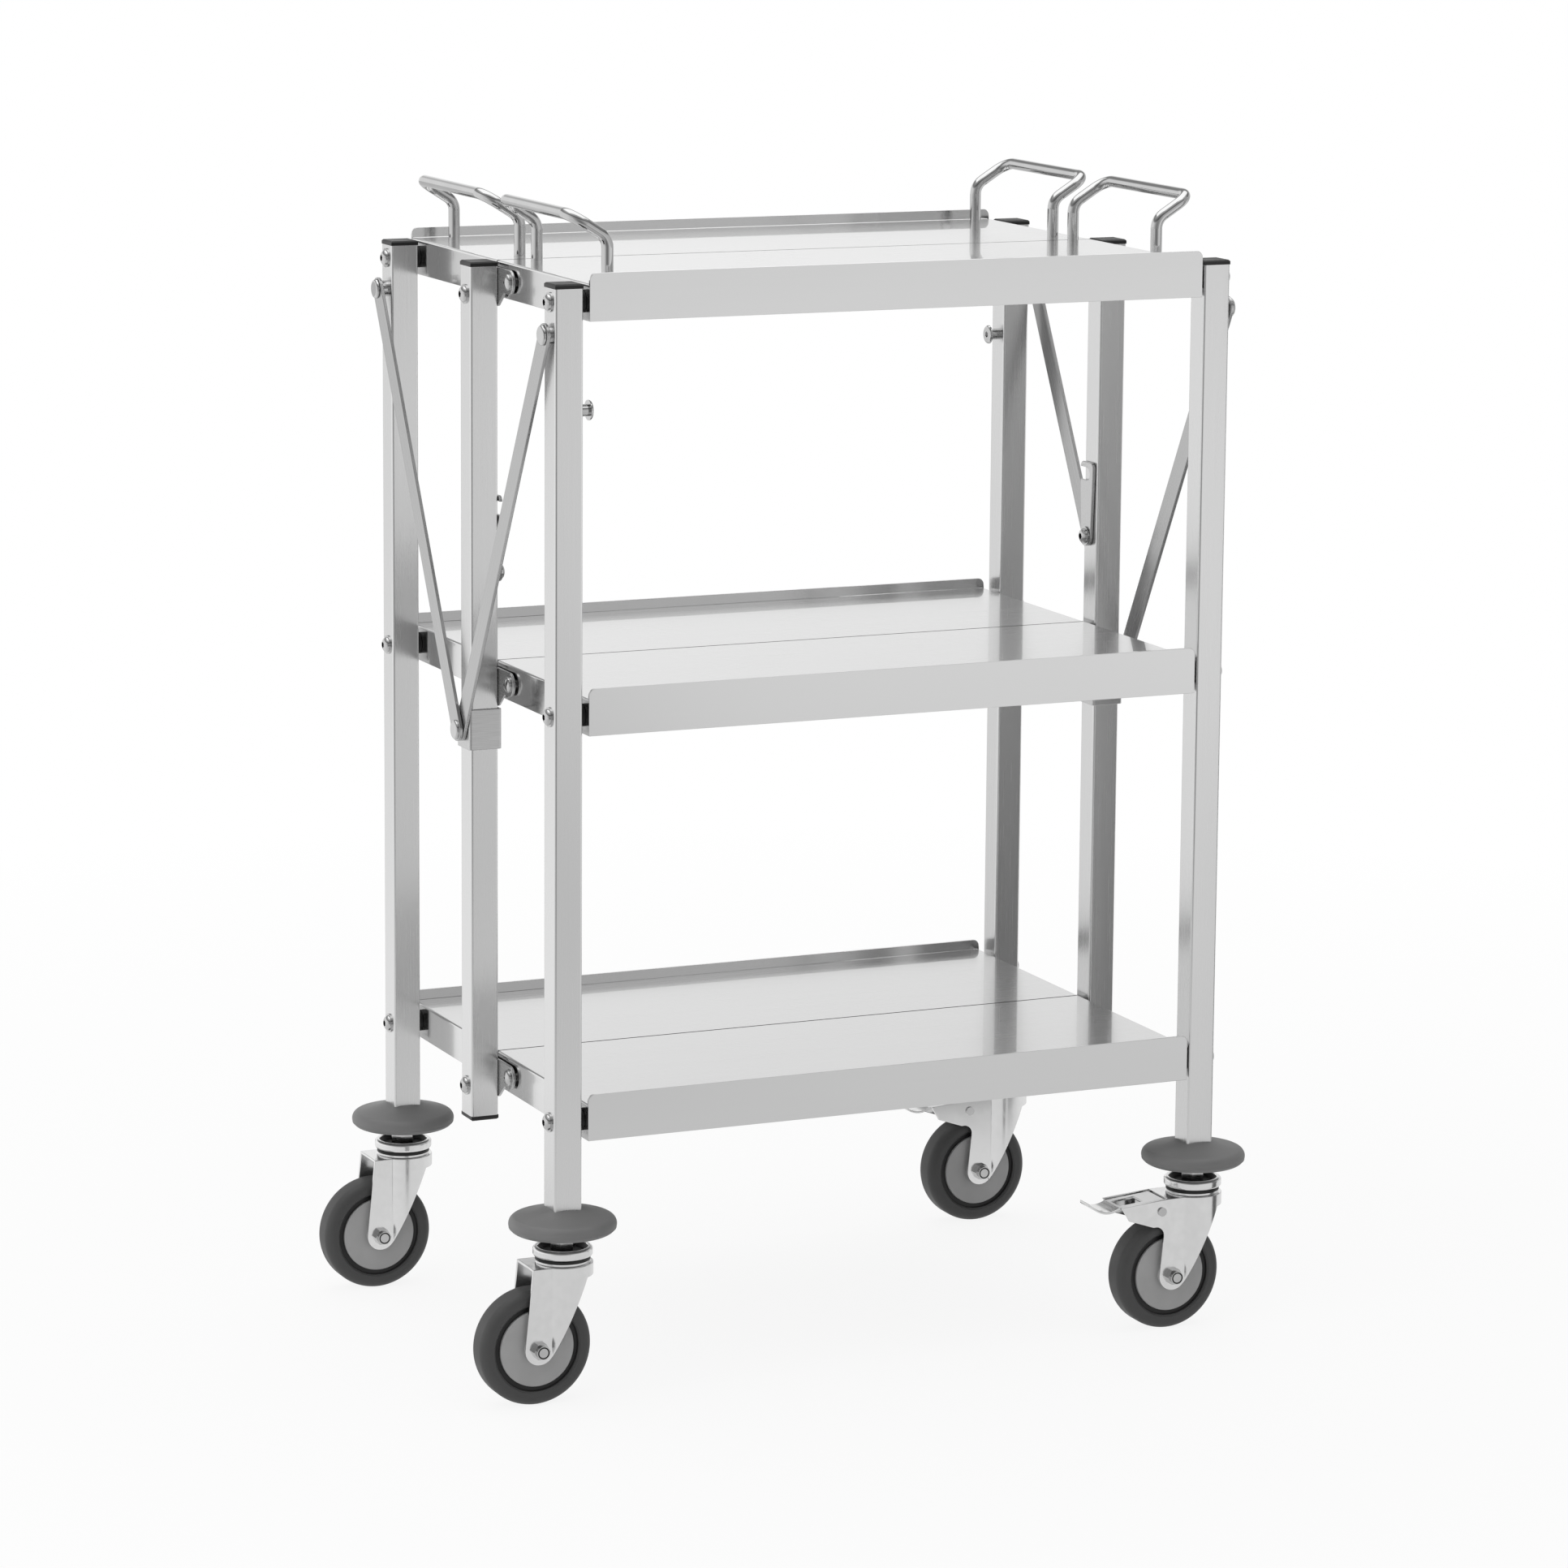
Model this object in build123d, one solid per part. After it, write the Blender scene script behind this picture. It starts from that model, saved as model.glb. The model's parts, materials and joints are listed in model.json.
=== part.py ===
from build123d import *
import math
import os

# Folding serving cart. X runs along the shelves, Y from front to rear, Z up.
# The origin is on the floor, midway between the four outer posts. Sizes in millimetres.

# Posts
post_side = 25.0
post_wall = 1.2
post_corner = 2.0
frame_length = 625.0
post_spread = 390.0
post_recess = 4.0
foot_to_shelf = 97.0
mid_tail = 54.0
cap_height = 4.0
cap_chamfer = 1.2
plug_margin = 1.0
plug_clearance = 0.2

# Shelves, each made of a front and a rear half tray
shelf_pitch = 345.5
sheet = 1.2
bend_radius = 2.0
apron = 31.0
upstand = 9.0
inner_flange = 20.0
rim_overhang = 4.0
rim_corner = 6.0
split_gap = 2.0
post_gap = 4.0
relief_run = 6.0

# Fold linkage
pivot_drop = 15.5
ear_offset = 37.0
fold_limit = 82.0
plate_thickness = 2.5
plate_bolt_drop = 28.0
ear_radius = 10.5
stem_width = 22.0
gusset_width = 52.0
stem_corner = 6.0
running_gap = 0.3

# Fasteners
shank = 8.0
hole_clearance = 0.2
pivot_clearance = 0.6
head_diameter = 14.0
head_height = 4.2
head_crown = 2.6
flange_diameter = 17.0
flange_height = 1.2
socket_width = 5.0
socket_depth = 2.4
nut_width = 13.0
nut_height = 6.5
washer_diameter = 19.0
rivet_head = 17.0
rivet_height = 2.5
rivet_round = 2.0
thin_head = 2.0
bolt_tail = 1.0

# V braces and their sliding sleeves
bar_width = 20.0
bar_thickness = 3.0
brace_drop = 42.6
sleeve_drop = 58.5
sleeve_height = 35.0
sleeve_below = 16.5
sleeve_wall = 2.0
sleeve_corner = 2.5
sleeve_clearance = 0.5
bar_clearance = 0.4
collar_diameter = 14.0

# Latch hooks and the studs that they catch
hook_rise = 77.5
hook_offset = 3.0
hook_thickness = 3.0
hook_width = 24.0
hook_foot_radius = 9.0
hook_lip = 5.0
hook_corner = 5.0
stud_diameter = 10.0
stud_length = 9.0
stud_drop = 106.0
mouth_clearance = 1.7

# Handles
rod = 10.0
handle_inset = 28.5
handle_inner = 20.0
handle_outer = 179.0
handle_leg = 34.0
handle_rise = 20.0
handle_reach = 32.0
handle_bend = 14.0
handle_stub = 2.0

# Casters
wheel_diameter = 100.0
wheel_width = 28.0
tread_shoulder = 8.0
tread_depth = 12.5
tread_bevel = 1.5
groove_width = 4.5
groove_depth = 5.0
hub_face_inset = 0.8
hub_boss = 22.0
trail = 28.0
axle_diameter = 8.0
bush_diameter = 12.0
axle_nut = 13.0
axle_nut_height = 5.5
nut_collar = 11.5
nut_collar_height = 3.0
fork_gap = 34.0
fork_sheet = 2.5
fork_foot_radius = 13.0
crown_clearance = 20.5
crown_radius = 26.0
crown_back = 34.0
crown_skirt = 11.0
leg_front = 14.0
lower_race = 46.0
lower_race_height = 3.7
race_gap = 1.4
upper_race = 51.0
upper_race_height = 8.2
race_bead = 2.4
race_rim = 4.0
dish_depth = 4.5
dish_slope = 3.0
kingpin = 12.0
kingpin_head = 20.0
kingpin_head_height = 3.0
stem_hex = 19.0
stem_rise = 11.2
bumper_diameter = 92.0
bumper_dome = 13.2
bumper_keel = 8.3
bumper_floor = 15.0
stem_plug = 21.0
stem_plug_depth = 45.0

# Brake on the right-hand casters
arm_length = 80.0
arm_fall = 3.7
arm_tip_slope = 8.0
arm_tip_depth = 13.0
arm_root_reach = 48.0
arm_root_depth = 25.0
arm_corner = 8.0
brake_pin = 5.0
brake_pin_head = 8.0
brake_pin_head_height = 1.5
brake_pin_reach = 40.0
brake_pin_drop = 11.0
pedal_sheet = 2.0
pedal_width = 30.0
pedal_gap = 2.0
pedal_sink = 1.0
pedal_ear = 6.0
window_start = 54.0
window_length = 23.0
window_width = 18.0
tongue_reach = 107.0
tongue_dip = 2.5
tongue_rise = 5.0
tongue_corner = 9.0
shoe_reach = 50.0
shoe_length = 7.0
shoe_drop = 21.5

# Places worked out from the sizes above
post_x = (frame_length - post_side) / 2
post_y = post_spread / 2
outer_face = post_x + post_side / 2
inner_face = post_x - post_side / 2
tray_end = inner_face - post_gap
rim_y = post_y + post_side / 2 + rim_overhang
axle_height = wheel_diameter / 2
tread_bore = wheel_diameter - 2 * tread_depth
hub_disc = tread_bore - 2 * groove_width
wheel_place = Pos(-trail, 0, axle_height) * Rot(90, 0, 0)
crown_top = wheel_diameter + crown_clearance
pin_place = Pos(-brake_pin_reach, 0, crown_top - brake_pin_drop) * Rot(90, 0, 0)
race_low = crown_top + lower_race_height + race_gap
race_top = race_low + upper_race_height
bumper_bottom = race_top + stem_rise
outer_foot = bumper_bottom + bumper_floor
bottom_shelf = outer_foot + foot_to_shelf
middle_shelf = bottom_shelf + shelf_pitch
top_shelf = middle_shelf + shelf_pitch
shelf_levels = {"top": top_shelf, "middle": middle_shelf, "bottom": bottom_shelf}
tube_top = top_shelf - post_recess
mid_foot = bottom_shelf - mid_tail
brace_top = top_shelf - brace_drop
sleeve_pivot = middle_shelf - sleeve_drop
hook_pivot_height = middle_shelf + hook_rise
stud_height = top_shelf - stud_drop
handle_x = tray_end - handle_inset
side_names = {-1: "left", 1: "right"}
end_names = {-1: "front", 1: "rear"}
plate_face = inner_face - plate_thickness
plug_depth = tube_top - (top_shelf - pivot_drop) - shank / 2 - plug_margin
fork_face = fork_gap / 2 + fork_sheet
fold = math.radians(fold_limit)
fold_reach = ear_offset + (post_y - ear_offset) * math.cos(fold)
fold_lift = (post_y - ear_offset) * math.sin(fold)
hook_reach = math.hypot(fold_reach - hook_offset, stud_height - hook_pivot_height - fold_lift)
sleeve_face = outer_face + sleeve_clearance + sleeve_wall
bar_faces = {
    -1: sleeve_face + bar_clearance,
    1: sleeve_face + 2 * bar_clearance + bar_thickness,
}


def seat(shape, side, x, y, z):
    """Lay a piece made along +Z onto the face at X = side * x, pointing outward."""
    return Pos(side * x, y, z) * Rot(0, side * 90, 0) * shape


def rod_z(diameter, low, high):
    """A round bar along Z between two heights."""
    return Pos(0, 0, (low + high) / 2) * Cylinder(diameter / 2, high - low)


def hex_z(across, low, high):
    """A hexagonal bar along Z, sized across its flats."""
    outline = RegularPolygon(across / 2, 6, major_radius=False)
    return Pos(0, 0, low) * extrude(outline, high - low)


def cross_hole(diameter, y, z, low, high):
    """A drill along X from X = low to X = high."""
    return Pos((low + high) / 2, y, z) * Rot(0, 90, 0) * Cylinder(diameter / 2, high - low)


def button_bolt(length):
    """Flanged button head on Z = 0 with a hexagon socket, and its shank below."""
    head = rod_z(head_diameter, flange_height, flange_height + head_height)
    head = fillet(head.edges().group_by(Axis.Z)[-1], head_crown)
    top = flange_height + head_height
    bolt = rod_z(flange_diameter, 0, flange_height) + head + rod_z(shank, -length, 0)
    return bolt - hex_z(socket_width, top - socket_depth, top)


def hex_nut(top):
    """Nut whose upper face is at Z = top."""
    return hex_z(nut_width, top - nut_height, top) - rod_z(shank + hole_clearance, top - nut_height, top)


def washer(thickness):
    """Spacer washer standing below Z = 0."""
    return rod_z(washer_diameter, -thickness, 0) - rod_z(shank + hole_clearance, -thickness, 0)


def square_tube(low, high):
    """One upright tube standing on its own axis."""
    inside = post_side - 2 * post_wall
    ring = RectangleRounded(post_side, post_side, post_corner)
    ring -= RectangleRounded(inside, inside, post_corner - post_wall)
    return Pos(0, 0, low) * extrude(ring, high - low)


def outer_posts(end):
    """The pair of posts at the front or rear, drilled for their bolts, rivets and stud."""
    posts = []
    for side in side_names:
        post = Pos(side * post_x, end * post_y, 0) * square_tube(outer_foot, tube_top)
        drill = shank + hole_clearance
        for level in shelf_levels.values():
            reach = sorted((side * inner_face, side * outer_face))
            post -= cross_hole(drill, end * post_y, level - pivot_drop, *reach)
        wall = sorted((side * (outer_face - post_wall), side * outer_face))
        post -= cross_hole(drill, end * post_y, brace_top, *wall)
        if side == end:
            wall = sorted((side * (inner_face + post_wall), side * inner_face))
            post -= cross_hole(drill, end * post_y, stud_height, *wall)
        posts.append(post)
    return posts


def mid_posts():
    """The two middle posts, drilled for the hinge plates and the hooks."""
    posts = []
    for side in side_names:
        post = Pos(side * post_x, 0, 0) * square_tube(mid_foot, tube_top)
        drill = shank + hole_clearance
        reach = sorted((side * inner_face, side * outer_face))
        for level in shelf_levels.values():
            post -= cross_hole(drill, 0, level - plate_bolt_drop, *reach)
        wall = sorted((side * (inner_face + post_wall), side * inner_face))
        post -= cross_hole(drill, side * hook_offset, hook_pivot_height, *wall)
        posts.append(post)
    return posts


def post_cap():
    """Plastic plug for a tube's open end, with its plate above Z = 0."""
    plate = Pos(0, 0, cap_height / 2) * Box(post_side, post_side, cap_height)
    plate = chamfer(plate.edges().group_by(Axis.Z)[-1], cap_chamfer)
    width = post_side - 2 * post_wall - 2 * plug_clearance
    plug = RectangleRounded(width, width, post_corner - post_wall)
    return plate + extrude(plug, -plug_depth)


def half_tray(end, level):
    """Folded sheet tray between the split at Y = 0 and the front or rear posts."""
    outline = RectangleRounded(2 * tray_end, 2 * apron, bend_radius)
    outline -= Rectangle(2 * tray_end - 2 * sheet, 2 * apron - 2 * sheet)
    outline = Pos(0, -apron) * outline & Pos(0, -apron / 2) * Rectangle(2 * tray_end, apron)
    depth = rim_y - split_gap / 2
    tray = Pos(0, split_gap / 2, 0) * Rot(90, 0, 0) * extrude(outline, -depth)
    lip = Pos(0, split_gap / 2 + sheet / 2, -inner_flange / 2)
    tray += lip * Box(2 * tray_end - 2 * sheet, sheet, inner_flange)
    rim = Pos(0, (upstand - apron) / 2) * Rectangle(2 * tray_end, apron + upstand)
    rim = fillet(rim.vertices().group_by(Axis.Y)[-1], rim_corner)
    tray += Pos(0, rim_y, 0) * Rot(90, 0, 0) * extrude(rim, sheet)
    hem = Pos(0, upstand / 2 - sheet / 2) * Rectangle(2 * tray_end, upstand + sheet)
    hem = fillet(hem.vertices().group_by(Axis.Y)[-1], rim_corner)
    tray += Pos(0, rim_y - sheet, 0) * Rot(90, 0, 0) * extrude(hem, sheet)
    start = split_gap / 2
    relief = Polyline(
        (start, -apron), (start, -inner_flange), (start + relief_run, -apron), close=True
    )
    notch = extrude(Plane.YZ * make_face(relief), tray_end, both=True)
    tray -= notch
    drill = shank + pivot_clearance
    for y in (ear_offset, post_y):
        tray -= cross_hole(drill, y, -pivot_drop, -tray_end, tray_end)
    if level == top_shelf:
        for x in (-handle_x, handle_x):
            for y in (handle_inner, handle_outer):
                tray -= Pos(x, y, 0) * rod_z(rod + hole_clearance, -sheet, 0)
    if end < 0:
        tray = mirror(tray, Plane.XZ)
    return Pos(0, 0, level) * tray


def handle(side, end):
    """Bent rod grip whose legs pass through a top tray's deck and are welded below it."""
    x = side * handle_x
    tip = x + side * handle_reach
    near = end * handle_inner
    far = end * handle_outer
    foot = top_shelf - sheet - handle_stub
    bend = top_shelf + handle_leg
    grip = bend + handle_rise
    route = FilletPolyline(
        (x, near, foot),
        (x, near, bend),
        (tip, near, grip),
        (tip, far, grip),
        (x, far, bend),
        (x, far, foot),
        radius=handle_bend,
    )
    return sweep(Plane(origin=route @ 0, z_dir=route % 0) * Circle(rod / 2), path=route)


def hinge_plate(side, level):
    """T-shaped plate on a middle post that carries both half trays on its ears."""
    foot = plate_bolt_drop + ear_radius
    plate = Pos(0, -pivot_drop) * SlotCenterToCenter(2 * ear_offset, 2 * ear_radius)
    shoulder = pivot_drop + ear_radius
    gusset = Polyline(
        (-gusset_width / 2, -shoulder), (gusset_width / 2, -shoulder),
        (stem_width / 2, -foot), (-stem_width / 2, -foot), close=True,
    )
    plate += fillet(make_face(gusset).vertices().group_by(Axis.Y)[0], stem_corner)
    for y in (-ear_offset, ear_offset):
        plate -= Pos(y, -pivot_drop) * Circle((shank + hole_clearance) / 2)
    plate -= Pos(0, -plate_bolt_drop) * Circle((shank + hole_clearance) / 2)
    solid = extrude(Plane.YZ * plate, plate_thickness)
    x = plate_face if side > 0 else -inner_face
    return Pos(x, 0, level) * solid


def ear_pin():
    """Shouldered pivot through an ear and an apron, with its head above Z = 0."""
    collar = post_gap - plate_thickness - running_gap
    through = post_gap + sheet
    head = fillet(rod_z(head_diameter, 0, head_height).edges().group_by(Axis.Z)[-1], head_crown)
    pin = head + rod_z(shank, -through - running_gap, 0)
    pin += rod_z(collar_diameter, -plate_thickness - collar, -plate_thickness)
    pin += rod_z(nut_width, -through - running_gap - thin_head, -through - running_gap)
    return pin - hex_z(socket_width, head_height - socket_depth, head_height)


def plate_bolt(level_name):
    """Bolt through a middle post into the hinge plate, low-headed where a brace passes."""
    length = post_side + plate_thickness
    if level_name == "middle":
        return rod_z(head_diameter, 0, thin_head) + rod_z(shank, -length, 0)
    return button_bolt(length)


def brace_bar(side, end):
    """Flat bar from an outer post's top pivot down to the sleeve pivot."""
    length = math.hypot(post_y, brace_top - sleeve_pivot)
    lean = math.degrees(math.atan2(post_y, brace_top - sleeve_pivot))
    bar = SlotCenterToCenter(length, bar_width)
    for along in (-length / 2, length / 2):
        bar -= Pos(along, 0) * Circle((shank + pivot_clearance) / 2)
    low_face = bar_faces[end] if side > 0 else -bar_faces[end] - bar_thickness
    upright = extrude(Plane.YZ * Rot(0, 0, 90) * bar, bar_thickness)
    middle = Pos(low_face, end * post_y / 2, (brace_top + sleeve_pivot) / 2)
    return middle * Rot(-end * lean, 0, 0) * upright


def brace_rivet(end):
    """Shouldered rivet on an outer post's face that carries the brace bar's upper end."""
    stand = bar_faces[end] - outer_face
    under_head = stand + bar_thickness + bar_clearance
    head = rod_z(rivet_head, under_head, under_head + rivet_height)
    head = fillet(head.edges().group_by(Axis.Z)[-1], rivet_round)
    pin = rod_z(shank, -post_wall, under_head)
    return pin + rod_z(collar_diameter, 0, stand - bar_clearance) + head


def sleeve_rivet():
    """Flat rivet through the outer brace bar at the sleeve, with its head above Z = 0."""
    head = rod_z(rivet_head, 0, rivet_height)
    head = fillet(head.edges().group_by(Axis.Z)[-1], rivet_round)
    return head + rod_z(shank, -bar_thickness, 0)


def sleeve(side):
    """Square bent-sheet sleeve that slides on a middle post."""
    bore = post_side + 2 * sleeve_clearance
    outside = bore + 2 * sleeve_wall
    ring = RectangleRounded(outside, outside, sleeve_corner)
    ring -= RectangleRounded(bore, bore, sleeve_corner - sleeve_wall)
    return Pos(side * post_x, 0, sleeve_pivot - sleeve_below) * extrude(ring, sleeve_height)


def hook(side):
    """Latch plate on a middle post, pointing up, with its mouth towards its stud."""
    mouth = stud_diameter + mouth_clearance
    top = hook_reach + mouth / 2 + hook_lip
    half = hook_width / 2
    blade = Polyline(
        (-hook_foot_radius, 0), (-half, hook_reach), (-half, top), (half, top),
        (half, hook_reach - mouth / 2), (hook_foot_radius, 0), close=True,
    )
    plate = fillet(make_face(blade).vertices().group_by(Axis.Y)[-1], hook_corner)
    plate += Circle(hook_foot_radius)
    plate -= Pos(0, hook_reach) * Circle(mouth / 2)
    plate -= Pos(half / 2, hook_reach) * Rectangle(half, mouth)
    plate -= Circle((shank + pivot_clearance) / 2)
    if side < 0:
        plate = mirror(plate, Plane.YZ)
    solid = extrude(Plane.YZ * plate, hook_thickness)
    gap = inner_face - running_gap
    x = gap - hook_thickness if side > 0 else -gap
    return Pos(x, side * hook_offset, hook_pivot_height) * solid


def hook_bolt():
    """Hook pivot bolt whose head faces inward, along its own +Z from the post's inner face."""
    lift = hook_thickness + 2 * running_gap
    bolt = Pos(0, 0, lift) * button_bolt(lift + post_wall)
    return bolt


def stud():
    """Latch stud: a spacer on a post's inner face with a low socket head at its end."""
    top = stud_length + rivet_height
    head = rod_z(flange_diameter, stud_length, top)
    head = fillet(head.edges().group_by(Axis.Z)[-1], rivet_round)
    body = head + rod_z(stud_diameter, 0, stud_length) + rod_z(shank, -post_wall, 0)
    return body - hex_z(socket_width, top - socket_depth, top)


def bumper():
    """Round rubber bumper, an ellipse in section cut flat below, with a square seat for the post."""
    rim = bumper_diameter / 2
    tall = bumper_keel + bumper_dome
    half = Pos(rim / 2, tall / 2 - bumper_keel) * Rectangle(rim, tall)
    section = Plane.XZ * (Ellipse(rim, bumper_dome) & half)
    solid = Pos(0, 0, bumper_bottom + bumper_keel) * revolve(section, Axis.Z)
    width = post_side + 2 * plug_clearance
    height = tall - bumper_floor
    solid -= Pos(0, 0, outer_foot + height / 2) * Box(width, width, height)
    return solid - rod_z(kingpin + hole_clearance, bumper_bottom, outer_foot)


def caster_stem():
    """Fixed half of a caster: plug in the post, hexagon, dished upper race and kingpin."""
    rim = upper_race / 2
    floor = race_top - dish_depth
    outline = Polyline(
        (0, race_low), (rim, race_low), (rim, race_top), (rim - race_rim, race_top),
        (rim - race_rim - dish_slope, floor), (0, floor), close=True,
    )
    face = make_face(outline)
    bead = face.vertices().group_by(Axis.X)[-1]
    stem = revolve(Plane.XZ * fillet(bead, race_bead), Axis.Z)
    stem += hex_z(stem_hex, floor, bumper_bottom)
    stem += rod_z(kingpin, bumper_bottom, outer_foot)
    stem += rod_z(stem_plug, outer_foot, outer_foot + stem_plug_depth)
    head_top = crown_top - fork_sheet - running_gap
    stem += rod_z(kingpin, head_top, race_low)
    return stem + rod_z(kingpin_head, head_top - kingpin_head_height, head_top)


def fork_outline(braked):
    """Side view of the pressed fork, with the swivel axis at X = 0."""
    foot = Pos(-trail, axle_height) * Circle(fork_foot_radius)
    skirt = crown_top - crown_skirt
    leg = Polyline(
        (-crown_back, skirt), (leg_front, skirt), (leg_front, crown_top), (-crown_back, crown_top),
        close=True,
    )
    outline = make_hull(foot.edges() + leg.edges())
    outline += Pos(crown_radius / 2, crown_top - crown_skirt / 2) * Rectangle(crown_radius, crown_skirt)
    if braked:
        root = crown_top - arm_root_depth
        tip = crown_top - arm_fall
        arm = Polyline(
            (0, crown_top), (-crown_back, crown_top), (-arm_length, tip),
            (-arm_length + arm_tip_slope, tip - arm_tip_depth), (-arm_root_reach, root), (0, root),
            close=True,
        )
        outline += make_face(arm)
        inner_corner = outline.vertices().sort_by_distance((-crown_back, root, 0))[0]
        outline = fillet(inner_corner, arm_corner)
    return outline


def fork_plan(skin):
    """Plan of the fork, a round crown with parallel cheeks behind it, shrunk by a skin."""
    reach = trail + wheel_diameter
    cheeks = Pos(-reach / 2, 0) * Rectangle(reach, 2 * (fork_face - skin))
    return Circle(crown_radius - skin) + cheeks


def fork(braked):
    """Pressed fork: crown, cheeks, lower swivel race and, with a brake, two arms."""
    block = extrude(Plane.XZ * fork_outline(braked), crown_radius, both=True)
    body = block & extrude(fork_plan(0), crown_top)
    body -= extrude(fork_plan(fork_sheet), crown_top - fork_sheet)
    body += rod_z(lower_race, crown_top, crown_top + lower_race_height)
    body -= rod_z(kingpin + pivot_clearance, crown_top - fork_sheet, crown_top + lower_race_height)
    body -= wheel_place * rod_z(axle_diameter + hole_clearance, -fork_face, fork_face)
    if braked:
        slot = Box(arm_length, fork_gap, 2 * arm_root_depth)
        body -= Pos(-crown_back - arm_length / 2, 0, crown_top) * slot
        body -= pin_place * rod_z(brake_pin + hole_clearance, -fork_face, fork_face)
    return body


def axle_set(braked):
    """Axle bolt, its locking nut, the bush that the hub turns on and, with a brake, the pedal pin."""
    hex_top = fork_face + axle_nut_height
    collar_top = hex_top + nut_collar_height
    bolt = rod_z(axle_diameter, -fork_face, collar_top) + hex_z(axle_nut, -hex_top, -fork_face)
    nut = hex_z(axle_nut, fork_face, hex_top) + rod_z(nut_collar, hex_top, collar_top)
    nut -= rod_z(axle_diameter + hole_clearance, fork_face, collar_top)
    bush = rod_z(bush_diameter, -fork_gap / 2, fork_gap / 2)
    bush -= rod_z(axle_diameter + hole_clearance, -fork_gap / 2, fork_gap / 2)
    pieces = [wheel_place * bolt, wheel_place * nut, wheel_place * bush]
    if braked:
        head = fork_face + brake_pin_head_height
        pin = rod_z(brake_pin, -head, head) + rod_z(brake_pin_head, fork_face, head)
        pieces.append(pin_place * (pin + rod_z(brake_pin_head, -head, -fork_face)))
    return pieces


def wheel_tread():
    """Rubber tyre with rounded shoulders, turned about the axle."""
    ring = Pos((tread_bore + tread_depth) / 2, 0) * Rectangle(tread_depth, wheel_width)
    ring = fillet(ring.vertices().group_by(Axis.X)[-1], tread_shoulder)
    ring = chamfer(ring.vertices().group_by(Axis.X)[0], tread_bevel)
    return wheel_place * revolve(Plane.XZ * ring, Axis.Z)


def wheel_hub():
    """Moulded hub: disc, rim groove on both faces and a boss that runs on the bush."""
    half = wheel_width / 2 - hub_face_inset
    core = rod_z(tread_bore, -half, half)
    groove = rod_z(tread_bore, half - groove_depth, half) - rod_z(hub_disc, half - groove_depth, half)
    core = core - groove - mirror(groove, Plane.XY)
    boss = fork_gap / 2 - running_gap
    core += rod_z(hub_boss, -boss, boss)
    core -= rod_z(bush_diameter + pivot_clearance, -boss, boss)
    return wheel_place * core


def brake_pedal():
    """Foot lever between the fork's arms: windowed plate, curled tongue, pin ears and shoe."""
    start = -crown_back - pedal_gap
    high = crown_top - pedal_sink
    low = high - arm_fall
    bend = -arm_length
    dip = ((bend - tongue_reach) / 2, low - tongue_dip)
    tip = (-tongue_reach, low + tongue_rise)
    upper = Line((start, high), (bend, low)) + ThreePointArc((bend, low), dip, tip)
    lower = Pos(0, -pedal_sheet) * upper
    ends = Line((start, high), (start, high - pedal_sheet)) + Line(tip, (tip[0], tip[1] - pedal_sheet))
    pedal = extrude(Plane.XZ * make_face(upper + lower + ends), pedal_width / 2, both=True)
    plan = Pos((start - tongue_reach) / 2, 0) * Rectangle(tongue_reach + start, pedal_width)
    plan = fillet(plan.vertices().group_by(Axis.X)[0], tongue_corner)
    pedal &= extrude(plan, 2 * crown_top)
    window = Box(window_length, window_width, arm_root_depth)
    pedal -= Pos(-window_start - window_length / 2, 0, crown_top) * window
    pin_z = crown_top - brake_pin_drop
    web_top = high - pedal_sheet / 2
    plate_z = (high + low - pedal_sheet) / 2
    for y in (-(pedal_width - pedal_sheet) / 2, (pedal_width - pedal_sheet) / 2):
        ear = Pos(-brake_pin_reach, y, pin_z) * Rot(90, 0, 0) * Cylinder(pedal_ear, pedal_sheet)
        edge = -brake_pin_reach - pedal_ear
        web = Pos((start + edge) / 2, y, (pin_z + web_top) / 2)
        pedal += ear + web * Box(start - edge, pedal_sheet, web_top - pin_z)
    bottom = crown_top - shoe_drop
    shoe = Box(shoe_length, wheel_width / 2, plate_z - bottom)
    pedal += Pos(-shoe_reach, 0, (bottom + plate_z) / 2) * shoe
    return pedal - pin_place * rod_z(brake_pin + pivot_clearance, -pedal_width, pedal_width)


def each_side(make, x, y, z):
    """One piece on each end of the cart, mirrored to point outward."""
    return [seat(make, side, x, y, z) for side in side_names]


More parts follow.
